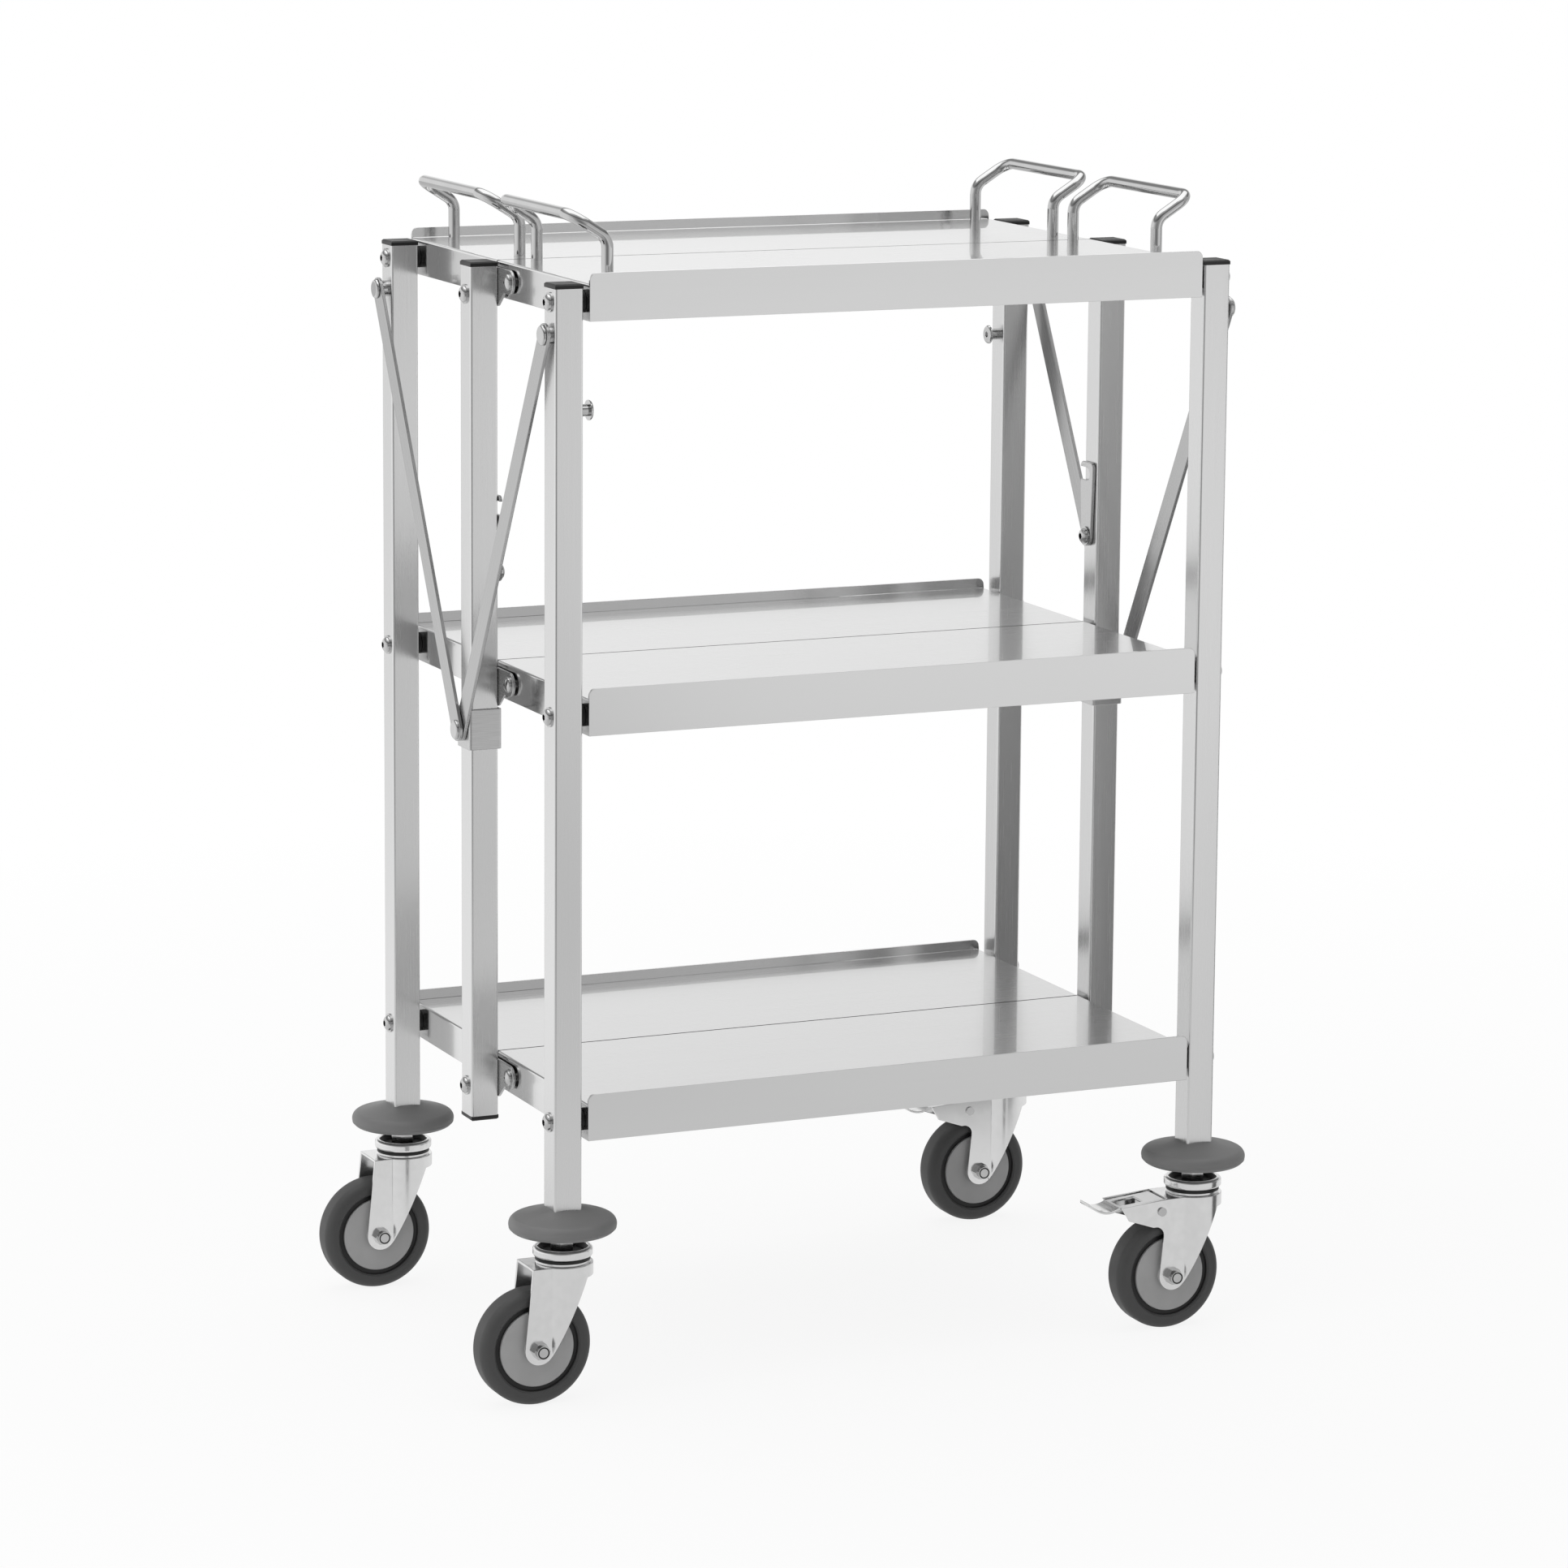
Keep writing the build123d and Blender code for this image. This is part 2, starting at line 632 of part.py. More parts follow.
nodes = {}
bolt_length = post_side + post_gap + sheet + running_gap + nut_height + bolt_tail
nut_top = -(post_side + post_gap + sheet + running_gap)
for end, name in end_names.items():
    y = end * post_y
    bolts = []
    washers = []
    for level in shelf_levels.values():
        z = level - pivot_drop
        bolts += each_side(button_bolt(bolt_length), outer_face, y, z)
        bolts += each_side(hex_nut(nut_top), outer_face, y, z)
        washers += each_side(washer(post_gap - running_gap), inner_face, y, z)
    nodes[f"{name}_posts"] = outer_posts(end)
    nodes[f"{name}_post_caps"] = [Pos(side * post_x, y, tube_top) * post_cap() for side in side_names]
    nodes[f"{name}_shelf_bolts"] = bolts
    nodes[f"{name}_pivot_washers"] = washers
    nodes[f"{name}_brace_rivets"] = each_side(brace_rivet(end), outer_face, y, brace_top)
    nodes[f"{name}_latch_stud"] = [seat(Rot(180, 0, 0) * stud(), end, inner_face, y, stud_height)]
    nodes[f"{name}_bumpers"] = [Pos(side * post_x, y, 0) * bumper() for side in side_names]
    nodes[f"{name}_caster_stems"] = [Pos(side * post_x, y, 0) * caster_stem() for side in side_names]
    for level_name, level in shelf_levels.items():
        nodes[f"{name}_{level_name}_tray"] = [half_tray(end, level)]
    nodes[f"{name}_handles"] = [handle(side, end) for side in side_names]
    for side, side_name in side_names.items():
        corner = f"{name}_{side_name}"
        spot = Pos(side * post_x, y, 0)
        braked = side > 0
        nodes[f"{corner}_brace"] = [brace_bar(side, end)]
        nodes[f"{corner}_fork"] = [spot * fork(braked)]
        nodes[f"{corner}_axle"] = [spot * piece for piece in axle_set(braked)]
        nodes[f"{corner}_tread"] = [spot * wheel_tread()]
        nodes[f"{corner}_hub"] = [spot * wheel_hub()]
        if braked:
            nodes[f"{corner}_brake_pedal"] = [spot * brake_pedal()]

nodes["mid_posts"] = mid_posts()
mid_caps = []
for side in side_names:
    mid_caps.append(Pos(side * post_x, 0, tube_top) * post_cap())
    mid_caps.append(Pos(side * post_x, 0, mid_foot) * Rot(180, 0, 0) * post_cap())
nodes["mid_post_caps"] = mid_caps
plates = []
plate_bolts = []
ear_pins = []
for level_name, level in shelf_levels.items():
    plate_bolts += each_side(plate_bolt(level_name), outer_face, 0, level - plate_bolt_drop)
    for side in side_names:
        plates.append(hinge_plate(side, level))
    for end in end_names:
        ear_pins += each_side(ear_pin(), inner_face, end * ear_offset, level - pivot_drop)
nodes["hinge_plates"] = plates
nodes["hinge_plate_bolts"] = plate_bolts
nodes["ear_pivot_pins"] = ear_pins
hook_bolts = []
for side, side_name in side_names.items():
    nodes[f"{side_name}_latch_hook"] = [hook(side)]
    nodes[f"{side_name}_brace_sleeve"] = [sleeve(side)]
    rivet_face = bar_faces[1] + bar_thickness
    nodes[f"{side_name}_sleeve_rivet"] = [seat(sleeve_rivet(), side, rivet_face, 0, sleeve_pivot)]
    turned = Rot(180, 0, 0) * hook_bolt()
    hook_bolts.append(seat(turned, side, inner_face, side * hook_offset, hook_pivot_height))
nodes["hook_pivot_bolts"] = hook_bolts

os.makedirs("parts", exist_ok=True)
for name, pieces in nodes.items():
    solids = [solid for piece in pieces for solid in piece.solids()]
    export_step(Compound(children=solids) if len(solids) > 1 else solids[0], f"parts/{name}.step")
print(len(nodes), "nodes written")
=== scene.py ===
# %% [markdown]
# A folding serving cart in satin and bright stainless steel. This lesson loads the cart's measured solids,
# sets up a white studio, gives every surface its finish, and swaps the turned, bent and bolted pieces for
# finer meshes. Every size is in metres and in the cart's own frame: X along the shelves, Y to the rear, Z up.

# %% Load the cart
import json
import math
import bmesh
import bpy
from mathutils import Matrix, Vector


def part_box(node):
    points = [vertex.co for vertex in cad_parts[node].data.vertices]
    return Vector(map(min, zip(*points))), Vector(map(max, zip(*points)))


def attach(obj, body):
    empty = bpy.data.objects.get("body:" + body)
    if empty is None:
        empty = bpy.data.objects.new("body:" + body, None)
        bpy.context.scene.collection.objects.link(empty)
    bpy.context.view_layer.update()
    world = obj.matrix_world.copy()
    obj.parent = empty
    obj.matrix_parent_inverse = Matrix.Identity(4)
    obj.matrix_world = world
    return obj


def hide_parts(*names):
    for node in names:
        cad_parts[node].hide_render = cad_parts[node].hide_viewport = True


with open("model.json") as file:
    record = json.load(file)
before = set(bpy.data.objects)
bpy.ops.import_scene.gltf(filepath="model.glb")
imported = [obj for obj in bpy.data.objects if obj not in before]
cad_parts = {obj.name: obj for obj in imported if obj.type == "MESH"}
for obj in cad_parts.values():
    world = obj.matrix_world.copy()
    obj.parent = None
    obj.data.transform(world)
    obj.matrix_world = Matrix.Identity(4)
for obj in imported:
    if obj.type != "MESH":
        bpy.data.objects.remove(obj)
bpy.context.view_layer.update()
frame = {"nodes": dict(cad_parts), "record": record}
nodes = frame["nodes"]
bodies = frame["record"]["behaviour"]["bodies"]
body_of_node = {name: body for body, names in bodies.items() for name in names}
slot_of_node = {row["node"]: row["material_slot"] for row in frame["record"]["subparts"]}
mm = 0.001

# %% [markdown]
# Colours are written the way a picture editor shows them, as sRGB hex. Blender's shaders work in linear
# light, so one small function converts them. A second one adds a node, sets its values and links it, which
# keeps each material short enough to read. A list of sources goes to one socket that takes several.

# %% Colour and node helpers
def linear(hex_text):
    channels = [int(hex_text[i : i + 2], 16) / 255 for i in (1, 3, 5)]
    return [c / 12.92 if c <= 0.04045 else ((c + 0.055) / 1.055) ** 2.4 for c in channels] + [1.0]


def add(tree, kind, settings=None, links=None):
    node = tree.nodes.new(kind)
    for name, value in (settings or {}).items():
        if isinstance(name, int) or name in node.inputs:
            node.inputs[name].default_value = value
        else:
            setattr(node, name, value)
    for name, sources in (links or {}).items():
        for source in sources if isinstance(sources, list) else [sources]:
            tree.links.new(source, node.inputs[name])
    return node


print("mid grey is", [round(c, 3) for c in linear("#808080")])

# %% [markdown]
# The camera stands where the photographer stood: well back, a little above the top shelf and to the left of
# the front. Its place and lens come from fitting the posts' and shelves' edges in the picture. The small
# shift is the photographer's too: it keeps the posts nearly parallel although the camera looks down.

# %% Camera
camera_place = Vector((-2.029, -4.535, 1.432))
camera_yaw = math.radians(24.344)
camera_pitch = math.radians(-9.569)
camera_roll = math.radians(0.503)
picture_pixels = 1932
focal_pixels = 7038
axis_pixel = (1012, 800)

look = Vector((
    math.sin(camera_yaw) * math.cos(camera_pitch),
    math.cos(camera_yaw) * math.cos(camera_pitch),
    math.sin(camera_pitch),
))
level_right = Vector((math.cos(camera_yaw), -math.sin(camera_yaw), 0))
level_up = level_right.cross(look)
right = math.cos(camera_roll) * level_right + math.sin(camera_roll) * level_up
up = math.cos(camera_roll) * level_up - math.sin(camera_roll) * level_right
camera_data = bpy.data.cameras.new("photo_camera")
camera_data.sensor_width = 36
camera_data.lens = focal_pixels / picture_pixels * camera_data.sensor_width
camera_data.shift_x = 0.5 - axis_pixel[0] / picture_pixels
camera_data.shift_y = axis_pixel[1] / picture_pixels - 0.5
camera = bpy.data.objects.new("photo_camera", camera_data)
camera.matrix_world = Matrix.Translation(camera_place) @ Matrix((right, up, -look)).transposed().to_4x4()
bpy.context.scene.collection.objects.link(camera)
bpy.context.scene.camera = camera
bpy.context.scene.view_settings.view_transform = "Standard"
print("lens", round(camera_data.lens, 1), "mm")

# %% [markdown]
# Bare metal is a picture of its surroundings, so the studio matters more than the paint. The room is white
# behind the cart, greyer in front and darkest where the photographer stands, with a dark band under the
# ceiling that draws lines along the rods and bolts. The camera itself sees plain white.

# %% Studio surroundings
dark_corner = (-0.41, -0.91, 0.0)


def tone_ramp(tree, source, stops):
    """A ramp of greys: pairs of place and brightness."""
    ramp = add(tree, "ShaderNodeValToRGB", links={0: source})
    for place, _ in stops[2:]:
        ramp.color_ramp.elements.new(place)
    for element, (place, tone) in zip(ramp.color_ramp.elements, stops):
        element.position = place
        element.color = (tone, tone, tone, 1.0)
    return ramp.outputs[0]


def room_tone(tree, direction, stops):
    """Brightness by direction: 0 on the ramp is straight behind the cart, 1 is the photographer's corner."""
    facing = add(tree, "ShaderNodeVectorMath", {"operation": "DOT_PRODUCT", 1: dark_corner}, {0: direction})
    share = add(tree, "ShaderNodeMapRange", {"From Min": -1.0, "From Max": 1.0}, {0: facing.outputs["Value"]})
    return tone_ramp(tree, share.outputs[0], stops)


def studio_world():
    world = bpy.data.worlds.new("white_studio")
    bpy.context.scene.world = world
    world.use_nodes = True
    tree = world.node_tree
    tree.nodes.clear()
    direction = add(tree, "ShaderNodeTexCoord").outputs["Generated"]
    way = add(tree, "ShaderNodeSeparateXYZ", links={0: direction})
    right_side = add(tree, "ShaderNodeMapRange", {"From Min": 0.3, "To Min": 1.0, "To Max": 0.6},
                     {0: way.outputs["X"]})
    level = room_tone(tree, direction, ((0.0, 1.0), (0.6, 1.0), (0.83, 0.7), (1.0, 0.3)))
    height = tone_ramp(tree, way.outputs["Z"], ((0.3, 1.0), (0.42, 0.3), (0.55, 0.35), (0.8, 0.75)))
    light = level
    for share in (right_side.outputs[0], height):
        light = add(tree, "ShaderNodeMath", {"operation": "MULTIPLY"}, {0: light, 1: share}).outputs[0]
    studio = add(tree, "ShaderNodeBackground", {"Color": (1, 1, 1, 1)}, {"Strength": light})
    white = add(tree, "ShaderNodeBackground", {"Color": (1, 1, 1, 1), "Strength": 1.0})
    seen = add(tree, "ShaderNodeLightPath").outputs["Is Camera Ray"]
    mix = add(tree, "ShaderNodeMixShader", links={0: seen, 1: studio.outputs[0], 2: white.outputs[0]})
    add(tree, "ShaderNodeOutputWorld", links={0: mix.outputs[0]})


studio_world()
print("world", bpy.context.scene.world.name)

# %% [markdown]
# Metal also mirrors the floor. What it sees there is a painted glow that stands for a pale sheet lit from
# the left: painted shade a little greyer close to the cart, painted light brighter towards the rear, painted
# shade grey behind the cart on its right, and painted shade dark far out where the photographer stands.
# Each of these is a ramp over the floor, and their product is the floor's brightness.

# %% What metal sees of the floor
shaded_side = (1.0, 0.44, 0.0)


def painted_floor_glow(tree, place, away):
    """Painted light and shade of the floor in the metal, from a place on the floor and its distance from the
    cart.
    """
    rearward = add(tree, "ShaderNodeSeparateXYZ", links={0: place}).outputs["Y"]
    rightward = add(tree, "ShaderNodeVectorMath", {"operation": "DOT_PRODUCT", 1: shaded_side}, {0: place})
    way = add(tree, "ShaderNodeVectorMath", {"operation": "NORMALIZE"}, {0: place}).outputs[0]
    # A ramp is a distance in metres, where it starts and stops, and its value at either end.
    ramps = (
        (away, 0.5, 4.2, 0.7, 0.95),
        (away, 1.0, 2.4, 0.0, 1.0),
        (rearward, -0.4, 0.8, 1.0, 1.3),
        (rightward.outputs["Value"], -0.05, 0.25, 1.0, 0.68),
        (rearward, 0.3, 0.9, 0.0, 1.0),
    )
    near, far, bright, behind, back = (
        add(tree, "ShaderNodeMapRange", {1: low, 2: high, 3: start, 4: stop}, {0: source}).outputs[0]
        for source, low, high, start, stop in ramps
    )
    corner = room_tone(tree, way, ((0.0, 1.0), (0.6, 1.0), (0.86, 0.95), (1.0, 0.25)))
    dark = add(tree, "ShaderNodeMix", {"data_type": "FLOAT", 2: 1.0}, {0: far, 3: corner}).outputs[0]
    shaded = add(tree, "ShaderNodeMix", {"data_type": "FLOAT", 2: 1.0}, {0: back, 3: behind}).outputs[0]
    tone = near
    for share in (dark, bright):
        tone = add(tree, "ShaderNodeMath", {"operation": "MULTIPLY"}, {0: tone, 1: share}).outputs[0]
    capped = add(tree, "ShaderNodeMath", {"operation": "MINIMUM", 1: 1.0}, {0: tone}).outputs[0]
    return add(tree, "ShaderNodeMath", {"operation": "MULTIPLY"}, {0: capped, 1: shaded}).outputs[0]


print("floor tones ready")

# %% [markdown]
# Most of what the camera sees of the floor is plain white. Near the cart the rest is a matt white that takes
# a soft shadow, so the wheels stand on something.

# %% Floor
def new_material(name):
    material = bpy.data.materials.new(name)
    material.use_nodes = True
    material.node_tree.nodes.clear()
    return material, material.node_tree


def close_material(tree, shader):
    add(tree, "ShaderNodeOutputMaterial", links={0: shader.outputs[0]})


def flat_sheet(name, sheet_corners, material):
    mesh = bpy.data.meshes.new(name)
    mesh.from_pydata(sheet_corners, [], [(0, 1, 2, 3)])
    mesh.materials.append(material)
    sheet = bpy.data.objects.new(name, mesh)
    bpy.context.scene.collection.objects.link(sheet)
    return sheet


def pale_floor(half):
    material, tree = new_material("pale_floor")
    place = add(tree, "ShaderNodeTexCoord").outputs["Object"]
    away = add(tree, "ShaderNodeVectorMath", {"operation": "LENGTH"}, {0: place}).outputs["Value"]
    matt = add(tree, "ShaderNodeBsdfDiffuse", {"Color": linear("#f4f4f4")})
    # Painted light and shade: for glossy rays the floor glows with the ramps above instead of being lit.
    mirrored = add(tree, "ShaderNodeEmission", links={"Strength": painted_floor_glow(tree, place, away)})
    white = add(tree, "ShaderNodeEmission", {"Strength": 1.0})
    path = add(tree, "ShaderNodeLightPath").outputs
    in_metal = add(tree, "ShaderNodeMixShader",
                   links={0: path["Is Glossy Ray"], 1: matt.outputs[0], 2: mirrored.outputs[0]})
    plain = add(tree, "ShaderNodeMapRange",
                {"From Min": 0.7, "From Max": 2.2, "To Min": 0.88, "To Max": 1.0}, {0: away})
    seen = add(tree, "ShaderNodeMath", {"operation": "MULTIPLY"},
               {0: path["Is Camera Ray"], 1: plain.outputs[0]})
    mix = add(tree, "ShaderNodeMixShader",
              links={0: seen.outputs[0], 1: in_metal.outputs[0], 2: white.outputs[0]})
    close_material(tree, mix)
    floor_corners = [(-half, -half, 0), (half, -half, 0), (half, half, 0), (-half, half, 0)]
    floor = flat_sheet("studio_floor", floor_corners, material)


pale_floor(half=12.0)
print("floor ready")

# %% [markdown]
# Two large softboxes give the rubber and plastic their shape. The left one is kept out of the metal, where it
# would wipe out a whole flange seen from the side. A grey card stands beside the cart at the right, out of
# the picture. Photographers call it a flag: only the middle and rear posts on that side mirror it, so their
# fronts go dark while the front post stays bright. Its grey is painted paler at the top, as painted light.

# %% Softboxes and the grey card
def softbox(name, place, target, width, height, watts, mirrored):
    data = bpy.data.lights.new(name, "AREA")
    data.shape = "RECTANGLE"
    data.size = width
    data.size_y = height
    data.energy = watts
    lamp = bpy.data.objects.new(name, data)
    aim = (Vector(target) - Vector(place)).to_track_quat("-Z", "Y")
    lamp.matrix_world = Matrix.Translation(place) @ aim.to_matrix().to_4x4()
    lamp.visible_glossy = mirrored
    bpy.context.scene.collection.objects.link(lamp)


def grey_card(low_x, high_x, y, height):
    material, tree = new_material("grey_card")
    place = add(tree, "ShaderNodeTexCoord").outputs["Object"]
    rise = add(tree, "ShaderNodeSeparateXYZ", links={0: place}).outputs["Z"]
    # Painted light: the card's grey grows paler towards the top.
    tone = add(tree, "ShaderNodeMapRange", {"From Max": height, "To Min": 0.18, "To Max": 0.72}, {0: rise})
    matt = add(tree, "ShaderNodeBsdfDiffuse", links={"Color": tone.outputs[0]})
    close_material(tree, matt)
    card_corners = [(low_x, y, 0), (high_x, y, 0), (high_x, y, height), (low_x, y, height)]
    card = flat_sheet("grey_card", card_corners, material)
    card.visible_camera = False
    card.visible_shadow = False
    card.visible_diffuse = False


softbox("left_softbox", place=(-2.6, -1.0, 2.0), target=(0, 0, 0.6),
        width=3.0, height=3.0, watts=28, mirrored=False)
softbox("top_softbox", place=(0.2, 0.4, 2.9), target=(0, 0, 0.5),
        width=3.2, height=3.0, watts=28, mirrored=True)
grey_card(low_x=0.375, high_x=1.0, y=-0.26, height=1.25)
print("lights ready")

# %% [markdown]
# Satin stainless is brushed with an abrasive belt, which leaves fine scratches along the length of a tube or
# bar. The eye sees streaks of slightly different gloss. Noise stretched along one axis of the piece gives
# them. The real lines are about 0.1 mm apart, too fine to show here, so they are drawn about 0.6 mm wide and
# 30 to 160 mm long.

# %% Brush lines
axis_x, axis_y, axis_z = 0, 1, 2
line_mm = 0.6


def streaks(tree, length_mm, along, lean=0.0):
    """Noise stretched along one axis of the piece, after an optional lean about X."""
    place = add(tree, "ShaderNodeTexCoord").outputs["Object"]
    turned = add(tree, "ShaderNodeMapping", {"Rotation": (lean, 0, 0)}, {0: place})
    fine = 1 / (line_mm * mm)
    scale = [fine, fine, fine]
    scale[along] = 1 / (length_mm * mm)
    stretched = add(tree, "ShaderNodeMapping", {"Scale": scale}, {0: turned.outputs[0]})
    noise = add(tree, "ShaderNodeTexNoise", {"Scale": 1.0, "Detail": 3.0, "Roughness": 0.6},
                {0: stretched.outputs[0]})
    return noise.outputs[0]


def spread(tree, noise, low, high):
    """Noise keeps mostly between 0.3 and 0.7. Stretch that part over a range of values."""
    wanted = {"From Min": 0.3, "From Max": 0.7, "To Min": low, "To Max": high}
    return add(tree, "ShaderNodeMapRange", wanted, {0: noise}).outputs[0]


def tinted(tree, hex_text, noise, low, high):
    """A colour that a noise makes a little darker and lighter."""
    settings = {"data_type": "RGBA", "blend_type": "MULTIPLY", 0: 1.0, 6: linear(hex_text)}
    return add(tree, "ShaderNodeMix", settings, {7: spread(tree, noise, low, high)}).outputs[2]


print("brush lines", line_mm, "mm wide")

# %% [markdown]
# On the square tubes a reflection smears across the scratches but stays sharp along them. The anisotropic
# setting does that, with a tangent that runs round the upright. The brace bars lean, so their lines lean too.

# %% Brushed stainless
def brushed_stainless(name, hex_text, along, rough,
                      lean=0.0, smear=0.0, length_mm=120, depth=0.03, vary=0.02):
    material, tree = new_material(name)
    noise = streaks(tree, length_mm, along, lean)
    gloss = spread(tree, noise, rough - 0.03, rough + 0.03)
    base = tinted(tree, hex_text, noise, 1 - vary, 1 + vary)
    across = add(tree, "ShaderNodeTangent", {"direction_type": "RADIAL", "axis": "Z"}).outputs[0]
    bump = add(tree, "ShaderNodeBump", {"Strength": depth, "Distance": 0.1 * mm}, {"Height": noise})
    steel = add(tree, "ShaderNodeBsdfPrincipled", {"Metallic": 1.0, "Anisotropic": smear},
                {"Base Color": base, "Roughness": gloss, "Normal": bump.outputs[0], "Tangent": across})
    close_material(tree, steel)
    return material


brace_low, brace_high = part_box("front_left_brace")
brace_lean = math.atan2(brace_high.y - brace_low.y, brace_high.z - brace_low.z)
post_steel = brushed_stainless("brushed_stainless_tube", "#e4e4e4", axis_z, 0.25, smear=0.7)
sleeve_steel = brushed_stainless("brushed_stainless_sleeve", "#d2d2d2", axis_x, 0.34,
                                 length_mm=30, depth=0.15, vary=0.12)
front_bar_steel = brushed_stainless("brushed_stainless_front_bar", "#bebebe", axis_z, 0.25, lean=-brace_lean)
rear_bar_steel = brushed_stainless("brushed_stainless_rear_bar", "#bebebe", axis_z, 0.25, lean=brace_lean)
plate_steel = brushed_stainless("brushed_stainless_plate", "#c4c4c4", axis_y, 0.28, length_mm=40)
hook_steel = brushed_stainless("brushed_stainless_hook", "#d0d0d0", axis_z, 0.28, length_mm=40)
print("brace leans", round(math.degrees(brace_lean), 1), "degrees")

# %% [markdown]
# The trays are folded from bright rolled sheet. A shallow glance along the deck shows the posts and handles
# mirrored in it over a pale haze, because the rolled skin is smooth and the grain under it is not. The shader
# says the same with a rough base and a smooth coat, whose mirror grows at shallow angles. The flanges are
# plainer: the piece's own normal tells deck from flange.

# %% Bright decks with satin flanges
def tray_sheet(name, hex_text):
    material, tree = new_material(name)
    noise = streaks(tree, 160, axis_x)
    normal = add(tree, "ShaderNodeTexCoord").outputs["Normal"]
    rise = add(tree, "ShaderNodeSeparateXYZ", links={0: normal}).outputs["Z"]
    deck = add(tree, "ShaderNodeMapRange", {"From Min": 0.7, "From Max": 0.95}, {0: rise}).outputs[0]
    flange = spread(tree, noise, 0.13, 0.17)
    haze = spread(tree, noise, 0.24, 0.28)
    gloss = add(tree, "ShaderNodeMix", {"data_type": "FLOAT"}, {0: deck, 2: flange, 3: haze}).outputs[0]
    base = tinted(tree, hex_text, noise, 0.99, 1.01)
    steel = add(tree, "ShaderNodeBsdfPrincipled",
                {"Metallic": 1.0, "Coat Weight": 1.0, "Coat Roughness": 0.04},
                {"Base Color": base, "Roughness": gloss})
    close_material(tree, steel)
    return material


tray_steel = tray_sheet("bright_stainless_tray_sheet", "#dcdcdc")
print("tray finish", tray_steel.name)

# %% [markdown]
# Bolts, rods and zinc-plated forks are smoother and brighter. Their small variation is a soft mottling, as
# plating and polishing leave, 8 to 20 mm across.

# %% Polished rod, fasteners and zinc plate
def polished_metal(name, hex_text, rough, mottle_mm):
    material, tree = new_material(name)
    place = add(tree, "ShaderNodeTexCoord").outputs["Object"]
    noise = add(tree, "ShaderNodeTexNoise", {"Scale": 1 / (mottle_mm * mm), "Detail": 2.0}, {0: place})
    gloss = spread(tree, noise.outputs[0], rough * 0.8, rough * 1.25)
    base = tinted(tree, hex_text, noise.outputs[0], 0.95, 1.02)
    metal = add(tree, "ShaderNodeBsdfPrincipled", {"Metallic": 1.0}, {"Base Color": base, "Roughness": gloss})
    close_material(tree, metal)
    return material


rod_steel = polished_metal("polished_stainless_rod", "#c8c8c8", rough=0.07, mottle_mm=20)
bolt_steel = polished_metal("polished_stainless_bolt", "#c8c8c8", rough=0.07, mottle_mm=8)
zinc_plate = polished_metal("bright_zinc_plate", "#eeeeee", rough=0.18, mottle_mm=9)
print("bright metals ready")

# %% [markdown]
# Rubber and plastic are moulded, with a fine matt grain from the tool. The grain is about 0.4 mm, drawn a
# little coarser so that it breaks up the shine. A wide, faint cloud keeps large areas from looking painted.

# %% Moulded rubber and plastic
cloud_mm = 25


def moulded(name, hex_text, rough, grain_mm, depth):
    material, tree = new_material(name)
    place = add(tree, "ShaderNodeTexCoord").outputs["Object"]
    grain, cloud = (
        add(tree, "ShaderNodeTexNoise", {"Scale": 1 / (size * mm), "Detail": 2.0}, {0: place}).outputs[0]
        for size in (grain_mm, cloud_mm)
    )
    base = tinted(tree, hex_text, cloud, 0.94, 1.06)
    gloss = spread(tree, cloud, rough - 0.06, rough + 0.06)
    bump = add(tree, "ShaderNodeBump", {"Strength": depth, "Distance": 0.2 * mm}, {"Height": grain})
    body = add(tree, "ShaderNodeBsdfPrincipled", {"IOR": 1.5},
               {"Base Color": base, "Roughness": gloss, "Normal": bump.outputs[0]})
    close_material(tree, body)
    return material


cap_plastic = moulded("black_polyethylene_cap", "#161616", rough=0.45, grain_mm=0.7, depth=0.1)
# Black nylon for the washers, the thread guard and the nut rings. The same black is painted shade in the bolt
# sockets and over the dished races, and it darkens the swivel bearing's gap.
nylon_and_painted_shade = moulded("black_nylon", "#121212", rough=0.5, grain_mm=0.7, depth=0.08)
bumper_rubber = moulded("grey_thermoplastic_rubber_bumper", "#7a7a7a", rough=0.5, grain_mm=0.8, depth=0.1)
tread_rubber = moulded("dark_grey_rubber_tread", "#484848", rough=0.5, grain_mm=0.8, depth=0.1)
hub_plastic = moulded("grey_polypropylene_hub", "#b0b0b0", rough=0.42, grain_mm=0.9, depth=0.05)
print("moulded finishes ready")

# %% [markdown]
# Every solid takes its finish from the ending of its name, so a new post or tray needs no new line here.
# Whatever is not listed is a bolt, a rivet or a pin.

# %% Give every node its finish
finishes = {
    "_tray": tray_steel,
    "_posts": post_steel,
    "_sleeve": sleeve_steel,
    "_handles": rod_steel,
    "hinge_plates": plate_steel,
    "_hook": hook_steel,
    "_caps": cap_plastic,
    "_washers": nylon_and_painted_shade,
    "_bumpers": bumper_rubber,
    "_tread": tread_rubber,
    "_hub": hub_plastic,
    "_fork": zinc_plate,
    "_pedal": zinc_plate,
    "_stems": zinc_plate,
}


def finish_for(name):
    if name.endswith("_brace"):
        return front_bar_steel if name.startswith("front") else rear_bar_steel
    for ending, material in finishes.items():
        if name.endswith(ending):
            return material
    return bolt_steel


for name, node in nodes.items():
    node.data.materials.clear()
    node.data.materials.append(finish_for(name))
print("finished", len(nodes), "nodes")

# %% [markdown]
# Cut and folded sheet never has a knife edge: the shear and the deburring drum leave a small radius that
# catches a thin line of light. The imported solids are loose triangles, so each is copied and merged, its
# flat faces are joined again, and a Bevel modifier rounds the sharp edges, except beside slivers that leave
# it no room. A Weighted Normal modifier then keeps the shading of the large flat faces flat.

